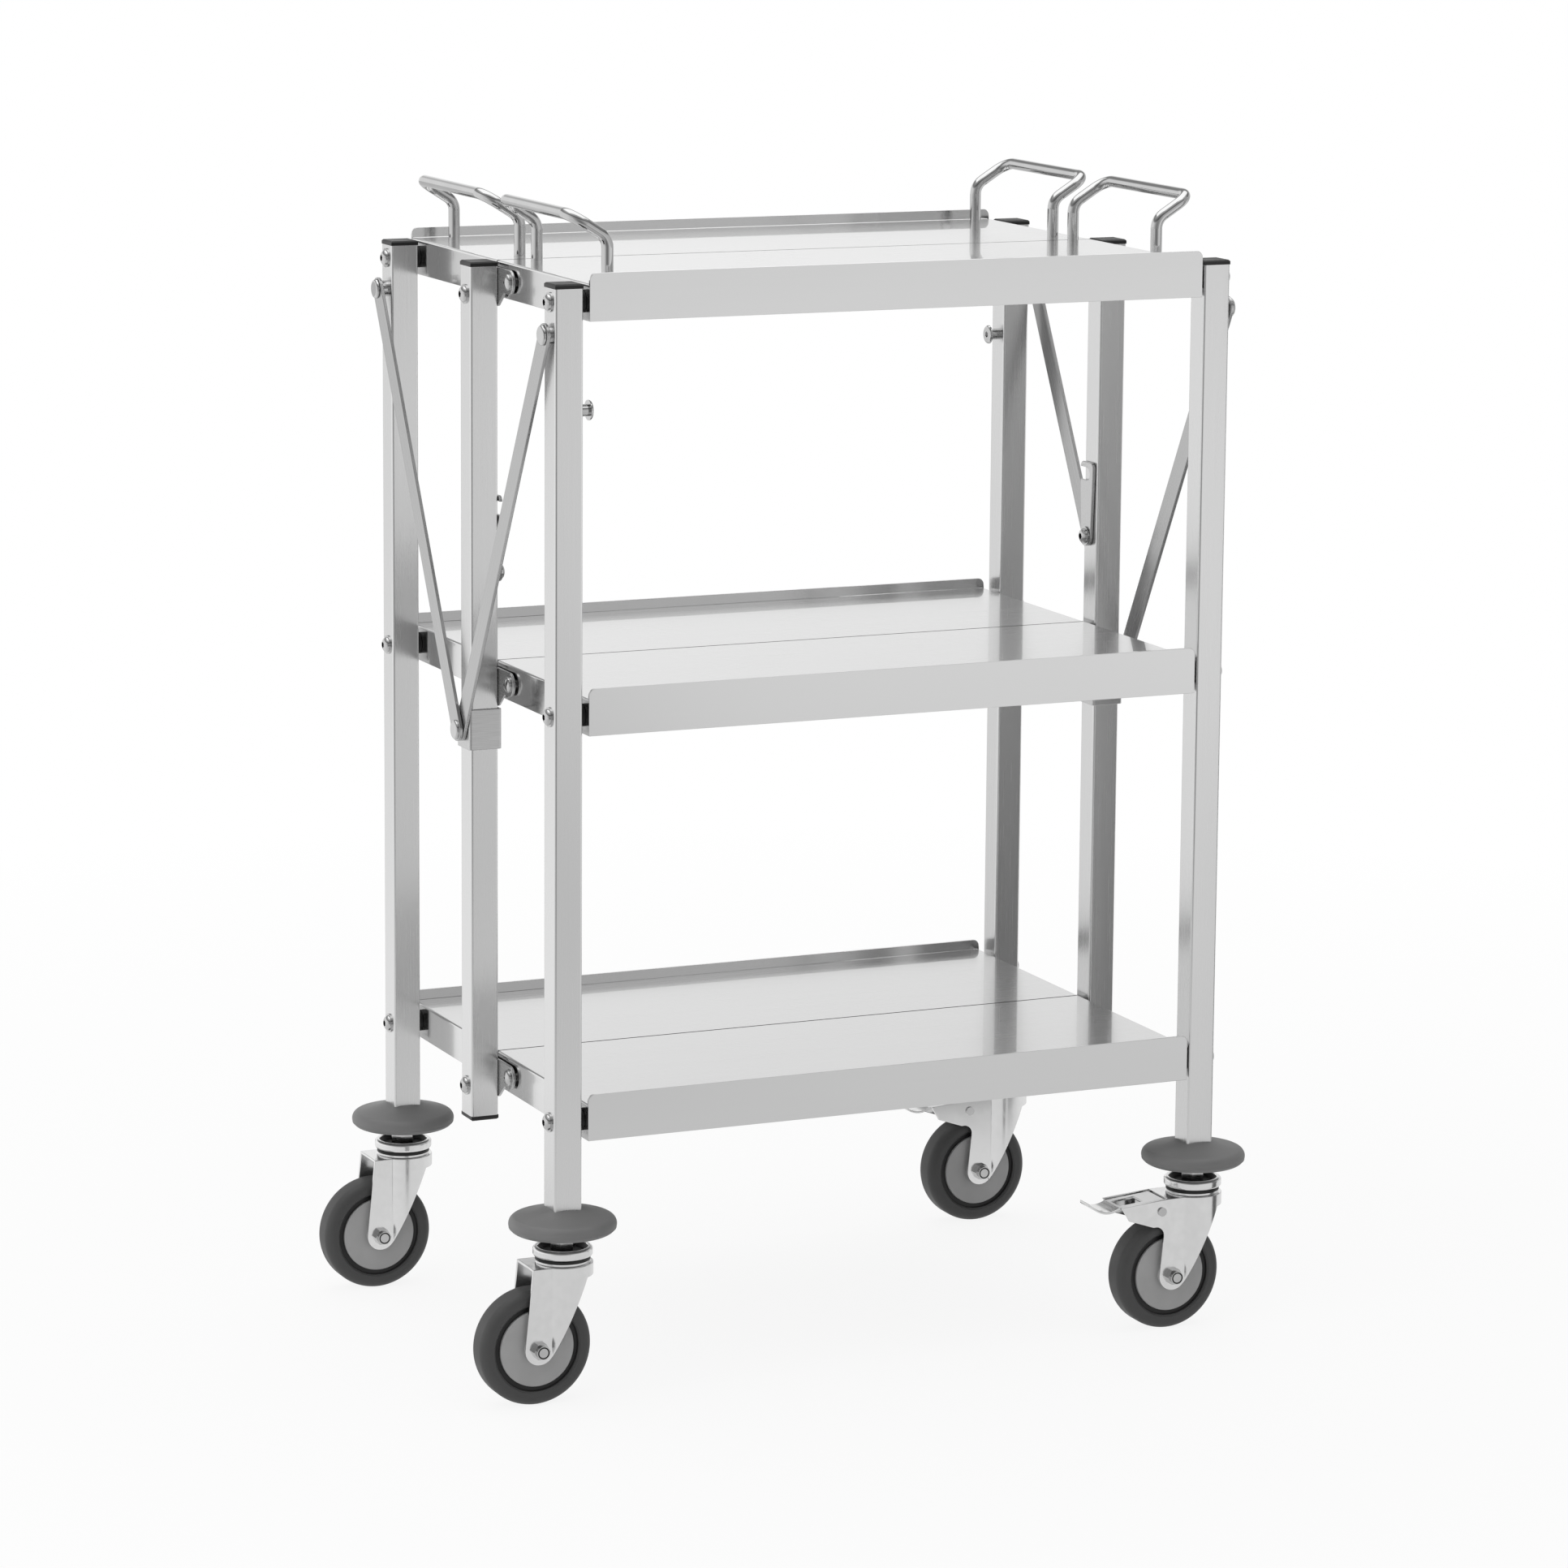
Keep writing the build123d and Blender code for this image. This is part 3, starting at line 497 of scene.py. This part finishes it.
# %% Softened sheet metal
edge_radius_mm = {
    "_tray": 0.3,
    "_brace": 0.5,
    "_hook": 0.6,
    "_sleeve": 0.4,
    "hinge_plates": 0.5,
    "_fork": 0.6,
    "_pedal": 0.5,
}
merge_mm = 0.005
sliver_mm = 0.2


def settle(piece, body, slot, *replaced):
    """Tie a finished piece to the body that carries it and hide the solids that it stands for."""
    bpy.context.scene.collection.objects.link(piece)
    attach(piece, body)
    if replaced:
        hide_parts(*replaced)


def merged_copy(name):
    """A solid's mesh with its triangles joined, and a bevel weight on each sharp edge that has room."""
    mesh = nodes[name].data.copy()
    if "custom_normal" in mesh.attributes:
        mesh.attributes.remove(mesh.attributes["custom_normal"])
    work = bmesh.new()
    work.from_mesh(mesh)
    bmesh.ops.remove_doubles(work, verts=work.verts, dist=merge_mm * mm)
    bmesh.ops.dissolve_limit(work, angle_limit=math.radians(0.5), verts=work.verts, edges=work.edges)
    tight = {v for e in work.edges if e.calc_length() < sliver_mm * mm for v in e.verts}
    weight = work.edges.layers.float.new("bevel_weight_edge")
    for edge in work.edges:
        sharp = len(edge.link_faces) == 2 and edge.calc_face_angle() > math.radians(40)
        edge[weight] = 1.0 if sharp and tight.isdisjoint(edge.verts) else 0.0
    work.to_mesh(mesh)
    work.free()
    mesh.shade_smooth()
    mesh.set_sharp_from_angle(angle=math.radians(30))
    return mesh


def soften(name, width_mm):
    piece = bpy.data.objects.new(name + "_softened", merged_copy(name))
    bevel = piece.modifiers.new("edge_radius", "BEVEL")
    bevel.width = width_mm * mm
    bevel.segments = 2
    bevel.limit_method = "WEIGHT"
    bevel.use_clamp_overlap = False
    flat = piece.modifiers.new("flat_faces_stay_flat", "WEIGHTED_NORMAL")
    flat.keep_sharp = True
    settle(piece, body_of_node[name], slot_of_node[name], name)


softened = 0
for name in nodes:
    for ending, width_mm in edge_radius_mm.items():
        if name.endswith(ending):
            soften(name, width_mm)
            softened += 1
print("softened", softened, "pieces")

# %% [markdown]
# Wheels, bumpers and the small dark rings are turned or moulded round an axis. A lathe does the same here: an
# outline in millimetres, given as radius and height, is carried round a circle in many fine steps.

# %% Lathe
round_steps = 128


def lathe(name, loops, centre, axis, material, steps=round_steps):
    """Spin closed outlines of (radius, height) pairs about the Y or Z axis through a point."""
    work = bmesh.new()
    for loop in loops:
        rings = []
        for step in range(steps):
            angle = 2 * math.pi * step / steps
            ring = []
            for radius, height in loop:
                out = radius * mm * math.cos(angle)
                over = radius * mm * math.sin(angle)
                offset = (out, height * mm, over) if axis == "Y" else (out, over, height * mm)
                ring.append(work.verts.new(centre + Vector(offset)))
            rings.append(ring)
        for step in range(steps):
            here, there = rings[step], rings[(step + 1) % steps]
            for i in range(len(loop)):
                j = (i + 1) % len(loop)
                work.faces.new((here[i], here[j], there[j], there[i]))
    bmesh.ops.recalc_face_normals(work, faces=work.faces)
    mesh = bpy.data.meshes.new(name)
    work.to_mesh(mesh)
    work.free()
    mesh.materials.append(material)
    mesh.shade_smooth()
    mesh.set_sharp_from_angle(angle=math.radians(35))
    return bpy.data.objects.new(name, mesh)


def arc(radius, height, size, start, stop, steps=10):
    """Points on a rounded corner, with its centre at a radius and a height."""
    points = []
    for step in range(steps + 1):
        angle = math.radians(start + (stop - start) * step / steps)
        points.append((radius + size * math.cos(angle), height + size * math.sin(angle)))
    return points


def mirrored_outline(half):
    """A half outline and its mirror image below height 0, as one loop."""
    return half + [(radius, -height) for radius, height in reversed(half)]


print("lathe ready")

# %% [markdown]
# Each wheel has a dark rubber tyre with round shoulders on a grey moulded hub. Between them lies a groove,
# and a black ring sits in it, as a thread guard does. The tyre's outer size is read from the solid. The other
# sizes are in millimetres, and a depth is counted from the tyre's side face.

# %% Wheels
tyre_shoulder, tyre_chamfer, tread_thickness = 8.0, 1.5, 12.5
groove_width, groove_depth = 4.5, 5.8
face_depth, face_round = 0.8, 0.6
boss_radius, boss_rise, boss_foot, boss_round = 11.0, 2.7, 0.8, 0.5
axle_hole = 6.3
guard_below_face = 2.6


def wheel(corner):
    tread, hub = corner + "_tread", corner + "_hub"
    low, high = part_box(tread)
    centre = (low + high) / 2
    outer = (high.x - low.x) / 2 / mm
    half = (high.y - low.y) / 2 / mm
    bore = outer - tread_thickness
    disc = bore - groove_width
    face, groove, boss_top = half - face_depth, half - groove_depth, half + boss_rise
    tyre = mirrored_outline([
        *arc(outer - tyre_shoulder, half - tyre_shoulder, tyre_shoulder, 0, 90),
        (bore + tyre_chamfer, half), (bore, half - tyre_chamfer),
    ])
    body = mirrored_outline([
        (bore, groove), (disc, groove), (disc, face - face_round), (disc - face_round, face),
        (boss_radius + boss_foot, face), (boss_radius, face + boss_foot),
        (boss_radius, boss_top - boss_round), (boss_radius - boss_round, boss_top), (axle_hole, boss_top),
    ])
    guard_top = face - guard_below_face
    guard = [(disc, groove), (bore, groove), (bore, guard_top), (disc, guard_top)]
    guards = [guard, [(radius, -height) for radius, height in guard]]
    body_name = body_of_node[tread]
    settle(lathe(corner + "_tyre", [tyre], centre, "Y", tread_rubber), body_name, slot_of_node[tread], tread)
    settle(lathe(corner + "_hub_disc", [body], centre, "Y", hub_plastic), body_name, slot_of_node[hub], hub)
    settle(lathe(corner + "_thread_guard", guards, centre, "Y", nylon_and_painted_shade), body_name, slot_of_node[tread])


corners = [f"{end}_{side}" for end in ("front", "rear") for side in ("left", "right")]
for corner in corners:
    wheel(corner)
print("turned", len(corners), "wheels")

# %% [markdown]
# The bumpers are soft grey discs with a thick round rim, a sloping top and a flat underside. A fine ridge
# low on the rim is where the mould's halves met. The outline's height 0 lies near the middle of the rim.

# %% Bumpers
rim_centre, rim_middle, rim_round, ridge_round = 39.0, -0.2, 6.9, 7.2
outline_lift = 8.3
bumper_outline = [
    (10.0, -7.1),
    *arc(rim_centre, rim_middle, rim_round, -90, -30),
    *arc(rim_centre, rim_middle, ridge_round, -27, -24, steps=1),
    *arc(rim_centre, rim_middle, rim_round, -21, 76),
    (30.0, 8.9), (22.0, 11.2), (17.0, 13.0), (10.0, 13.2),
]
for end in ("front", "rear"):
    name = f"{end}_bumpers"
    low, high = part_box(name)
    rim = (high.y - low.y) / 2
    for i, x in enumerate((low.x + rim, high.x - rim)):
        centre = Vector((x, (low.y + high.y) / 2, low.z + outline_lift * mm))
        disc = lathe(f"{name}_{i}", [bumper_outline], centre, "Z", bumper_rubber)
        settle(disc, body_of_node[name], slot_of_node[name], name)
print("bumpers placed")

# %% [markdown]
# Below each bumper a black ring lies over the dished race. It is painted shade: the dish there mirrors the
# bumper's dark underside. A black ring fills the gap of the swivel bearing on top of the fork and darkens it,
# and the locking nut on the axle shows its dark nylon ring. All three are small turned rings.

# %% Swivel gap rings, painted race shade and nut rings
# A black ring that fills the swivel bearing's gap and darkens it.
swivel_gap_ring = [(22.0, -1.5), (23.5, -1.5), (23.5, 0.9), (22.3, 1.3), (8.0, 1.3), (8.0, 0.1), (22.0, 0.1)]
# Painted shade: a black ring over the dish, where the dish mirrors the bumper's dark underside.
painted_race_shade = [(9.0, 0.05), (18.4, 0.05), (21.0, 3.95), (20.6, 4.1), (18.1, 0.5), (9.0, 0.5)]
insert = [(4.05, 0.6), (5.2, 0.6), (5.2, -0.12), (4.05, -0.12)]
insert_steps = 48
dish_above_fork = 5.1
for corner in corners:
    fork, stems = corner + "_fork", corner.split("_")[0] + "_caster_stems"
    low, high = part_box(stems)
    rim = (high.y - low.y) / 2
    x = low.x + rim if "left" in corner else high.x - rim
    swivel = Vector((x, (low.y + high.y) / 2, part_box(fork)[1].z))
    dish = swivel + Vector((0, 0, dish_above_fork * mm))
    tread_low, tread_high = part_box(corner + "_tread")
    nut = (tread_low + tread_high) / 2
    nut.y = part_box(corner + "_axle")[0].y
    for name, outline, centre, axis, steps, carrier in (
        ("_swivel_seal", swivel_gap_ring, swivel, "Z", round_steps, fork),
        ("_race_liner", painted_race_shade, dish, "Z", round_steps, stems),
        ("_nut_insert", insert, nut, "Y", insert_steps, fork),
    ):
        ring = lathe(corner + name, [outline], centre, axis, nylon_and_painted_shade, steps)
        settle(ring, body_of_node[carrier], "black_plastic")
print("swivel_gap_rings, painted_race_shades and nut rings placed")

# %% [markdown]
# The cart is held together by repeats of one fastener: a domed head on a flange, a socket for the key, a
# shank and a nut. Geometry Nodes can make one from its sizes, so the same tree serves bolts and pins. The
# head is a squashed ball. A block takes away its lower half, and a six-sided bar cuts the socket.

# %% One fastener
button = {
    "Head Radius": 7.0, "Head Height": 4.2, "Flange Radius": 8.5, "Flange Height": 1.2,
    "Socket Radius": 2.9, "Socket Depth": 2.4, "Shank Radius": 4.0, "Shank Length": 38.0,
    "Nut Radius": 7.5, "Nut Height": 6.5, "Nut Place": 30.5,
}
block_width, block_height = 40 * mm, 20 * mm


def socket_head(tree, given):
    ball = add(tree, "GeometryNodeMeshUVSphere", {"Segments": 40, "Rings": 24, "Radius": 1.0})
    dome_size = add(tree, "ShaderNodeCombineXYZ",
                    links={0: given["Head Radius"], 1: given["Head Radius"], 2: given["Head Height"]})
    lift = add(tree, "ShaderNodeCombineXYZ", links={2: given["Flange Height"]}).outputs[0]
    dome = add(tree, "GeometryNodeTransform",
               links={"Geometry": ball.outputs["Mesh"], "Translation": lift, "Scale": dome_size.outputs[0]})
    block = add(tree, "GeometryNodeMeshCube", {"Size": (block_width, block_width, block_height)})
    below = add(tree, "ShaderNodeMath", {"operation": "SUBTRACT", 1: block_height / 2},
                {0: given["Flange Height"]})
    under = add(tree, "ShaderNodeCombineXYZ", links={2: below.outputs[0]})
    lower = add(tree, "GeometryNodeTransform",
                links={"Geometry": block.outputs["Mesh"], "Translation": under.outputs[0]})
    top = add(tree, "ShaderNodeMath", {"operation": "ADD"},
              {0: given["Flange Height"], 1: given["Head Height"]})
    double = add(tree, "ShaderNodeMath", {"operation": "MULTIPLY", 1: 2.0}, {0: given["Socket Depth"]})
    key_hole = add(tree, "GeometryNodeMeshCylinder", {"Vertices": 6},
                   {"Radius": given["Socket Radius"], "Depth": double.outputs[0]})
    crest = add(tree, "ShaderNodeCombineXYZ", links={2: top.outputs[0]})
    socket = add(tree, "GeometryNodeTransform",
                 links={"Geometry": key_hole.outputs["Mesh"], "Translation": crest.outputs[0]})
    # Painted shade: the socket's walls take the black material, standing for the shade in the recess.
    shadow = add(tree, "GeometryNodeSetMaterial",
                 links={"Geometry": socket.outputs[0], "Material": given["Socket Material"]})
    cutters = add(tree, "GeometryNodeJoinGeometry", links={0: [lower.outputs[0], shadow.outputs[0]]})
    head = add(tree, "GeometryNodeMeshBoolean", {"operation": "DIFFERENCE"},
               {"Mesh 1": dome.outputs[0], "Mesh 2": cutters.outputs[0]})
    return head.outputs["Mesh"]


def plain_cylinders(tree, given):
    """The flange stands above height 0. The shank and the nut hang below it."""
    parts = []
    for radius, depth, place, sides, sign in (
        ("Flange Radius", "Flange Height", None, 48, 0.5),
        ("Shank Radius", "Shank Length", None, 24, -0.5),
        ("Nut Radius", "Nut Height", "Nut Place", 6, -0.5),
    ):
        bar = add(tree, "GeometryNodeMeshCylinder", {"Vertices": sides},
                  {"Radius": given[radius], "Depth": given[depth]})
        middle = add(tree, "ShaderNodeMath", {"operation": "MULTIPLY", 1: sign}, {0: given[depth]}).outputs[0]
        if place:
            dropped = add(tree, "ShaderNodeMath", {"operation": "SUBTRACT"}, {0: middle, 1: given[place]})
            middle = dropped.outputs[0]
        spot = add(tree, "ShaderNodeCombineXYZ", links={2: middle})
        moved = add(tree, "GeometryNodeTransform",
                    links={"Geometry": bar.outputs["Mesh"], "Translation": spot.outputs[0]})
        parts.append(moved.outputs[0])
    return parts


print("a fastener has", len(button), "sizes")

# %% [markdown]
# The tree sets a copy of the fastener on every seat and turns each by a random angle from a fixed seed, as a
# fitter leaves them. The copies are then made real, and all but the sockets take the bright finish. The
# sockets keep a black that is painted shade in the recess.

# %% Fastener tree
def fastener_tree():
    tree = bpy.data.node_groups.new("socket_head_fasteners", "GeometryNodeTree")
    face = tree.interface
    face.new_socket("Geometry", in_out="OUTPUT", socket_type="NodeSocketGeometry")
    face.new_socket("Seats", in_out="INPUT", socket_type="NodeSocketGeometry")
    kinds = {**dict.fromkeys(button, "Float"), "Seed": "Int", "Material": "Material",
             "Socket Material": "Material"}
    keys = {}
    for name, kind in kinds.items():
        keys[name] = face.new_socket(name, in_out="INPUT", socket_type="NodeSocket" + kind).identifier
    given = add(tree, "NodeGroupInput").outputs

    parts = [socket_head(tree, given), *plain_cylinders(tree, given)]
    whole = add(tree, "GeometryNodeJoinGeometry", links={0: parts})
    smooth = add(tree, "GeometryNodeSetShadeSmooth", links={"Geometry": whole.outputs[0]})
    bend = add(tree, "GeometryNodeInputMeshEdgeAngle").outputs["Unsigned Angle"]
    sharp = add(tree, "FunctionNodeCompare", {"operation": "GREATER_THAN", 1: math.radians(35)}, {0: bend})
    crisp = add(tree, "GeometryNodeSetShadeSmooth", {"domain": "EDGE", "Shade Smooth": False},
                {"Geometry": smooth.outputs[0], "Selection": sharp.outputs[0]})

    turn = add(tree, "GeometryNodeInputNamedAttribute", {"data_type": "FLOAT_VECTOR", "Name": "turn"})
    copies = add(tree, "GeometryNodeInstanceOnPoints",
                 links={"Points": given["Seats"], "Instance": crisp.outputs[0], "Rotation": turn.outputs[0]})
    chance = add(tree, "FunctionNodeRandomValue", {"data_type": "FLOAT", 3: math.pi / 3},
                 {"Seed": given["Seed"]})
    angle = add(tree, "ShaderNodeCombineXYZ", links={2: chance.outputs[1]})
    spun = add(tree, "GeometryNodeRotateInstances", {"Local Space": True},
               {"Instances": copies.outputs[0], "Rotation": angle.outputs[0]})
    real = add(tree, "GeometryNodeRealizeInstances", links={0: spun.outputs[0]})
    dark = add(tree, "GeometryNodeMaterialSelection", links={0: given["Socket Material"]})
    bright = add(tree, "FunctionNodeBooleanMath", {"operation": "NOT"}, {0: dark.outputs[0]}).outputs[0]
    dressed = add(tree, "GeometryNodeSetMaterial",
                  links={"Geometry": real.outputs[0], "Selection": bright, "Material": given["Material"]})
    add(tree, "NodeGroupOutput", links={0: dressed.outputs[0]})
    return tree, keys


tree, keys = fastener_tree()
print("fastener tree has", len(tree.nodes), "nodes and", len(keys), "inputs")

# %% [markdown]
# A mesh of bare points holds the seats, and an attribute on them says which way each fastener faces. The tree
# runs once on it as a modifier, and its result is kept as a plain mesh.

# %% Run the tree on some seats
def set_fasteners(name, seats, sizes_mm, body, *replaced):
    mesh = bpy.data.meshes.new(name)
    mesh.from_pydata([place for place, _ in seats], [], [])
    turn = mesh.attributes.new("turn", "FLOAT_VECTOR", "POINT")
    for i, (_, way) in enumerate(seats):
        turn.data[i].vector = (0, way * math.pi / 2, 0)
    maker = bpy.data.objects.new(name + "_maker", mesh)
    bpy.context.scene.collection.objects.link(maker)
    modifier = maker.modifiers.new("fasteners", "NODES")
    modifier.node_group = tree
    for label, size in sizes_mm.items():
        modifier[keys[label]] = size * mm
    modifier[keys["Seed"]] = 7
    modifier[keys["Material"]] = bolt_steel
    # The sockets take this black as painted shade.
    modifier[keys["Socket Material"]] = nylon_and_painted_shade
    bpy.context.view_layer.update()
    made = bpy.data.meshes.new_from_object(maker.evaluated_get(bpy.context.evaluated_depsgraph_get()))
    bpy.data.objects.remove(maker)
    made.name = name
    settle(bpy.data.objects.new(name, made), body, "bright_fasteners", *replaced)
    print(name, len(seats), "fasteners,", len(made.polygons), "faces")


print("seats wait for", tree.name)

# %% [markdown]
# Shelf bolts go through the outer posts at each level. Plate bolts hold the hinge plates on the middle
# posts, ear pins carry the half trays, and two bolts carry the latch hooks. Their seats follow from the
# boxes of the posts and trays, and from a few sizes in millimetres. Each kind differs from the button-head
# bolt in a few sizes only.

# %% Set the fasteners
post_side, tray_upstand = 25, 9
pivot_drop, plate_drop, ear_reach = 15.5, 28, 37
hook_stand, hook_offset = 3.6, 3
ways = (-1, 1)

plate_button = {**button, "Shank Length": 27.5, "Nut Radius": 4.5, "Nut Height": 0.5, "Nut Place": 27.0}
low_head = {**plate_button, "Head Height": 1.6, "Flange Radius": 7.0, "Flange Height": 0.4,
            "Socket Radius": 1.5, "Socket Depth": 0.4}
ear_head = {**low_head, "Head Height": 3.4, "Flange Radius": 7.4, "Flange Height": 0.8, "Socket Radius": 1.2,
            "Shank Length": 7.5, "Nut Radius": 7.0, "Nut Height": 2.0, "Nut Place": 5.5}
hook_button = {**plate_button, "Shank Length": 4.8, "Nut Place": 4.3}

outer_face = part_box("front_posts")[1].x
inner_face = outer_face - post_side * mm
decks = [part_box(f"front_{level}_tray")[1].z - tray_upstand * mm for level in ("top", "middle", "bottom")]
pivots = [deck - pivot_drop * mm for deck in decks]
top_plate, middle_plate, bottom_plate = [deck - plate_drop * mm for deck in decks]
for end in ("front", "rear"):
    low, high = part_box(f"{end}_posts")
    y = (low.y + high.y) / 2
    seats = [((way * outer_face, y, z), way) for z in pivots for way in ways]
    set_fasteners(f"{end}_button_bolts", seats, button, f"{end}_frame", f"{end}_shelf_bolts")
seats = [((way * outer_face, 0, z), way) for z in (top_plate, bottom_plate) for way in ways]
set_fasteners("plate_button_bolts", seats, plate_button, "mid_frame", "hinge_plate_bolts")
seats = [((way * outer_face, 0, middle_plate), way) for way in ways]
set_fasteners("plate_low_bolts", seats, low_head, "mid_frame")
ears = (-ear_reach * mm, ear_reach * mm)
seats = [((way * inner_face, y, z), way) for z in pivots for way in ways for y in ears]
set_fasteners("ear_pins", seats, ear_head, "mid_frame", "ear_pivot_pins")
low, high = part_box("hook_pivot_bolts")
hook_x, hook_y, hook_z = inner_face - hook_stand * mm, hook_offset * mm, (low.z + high.z) / 2
seats = [((way * hook_x, way * hook_y, hook_z), -way) for way in ways]
set_fasteners("hook_bolts", seats, hook_button, "mid_frame", "hook_pivot_bolts")
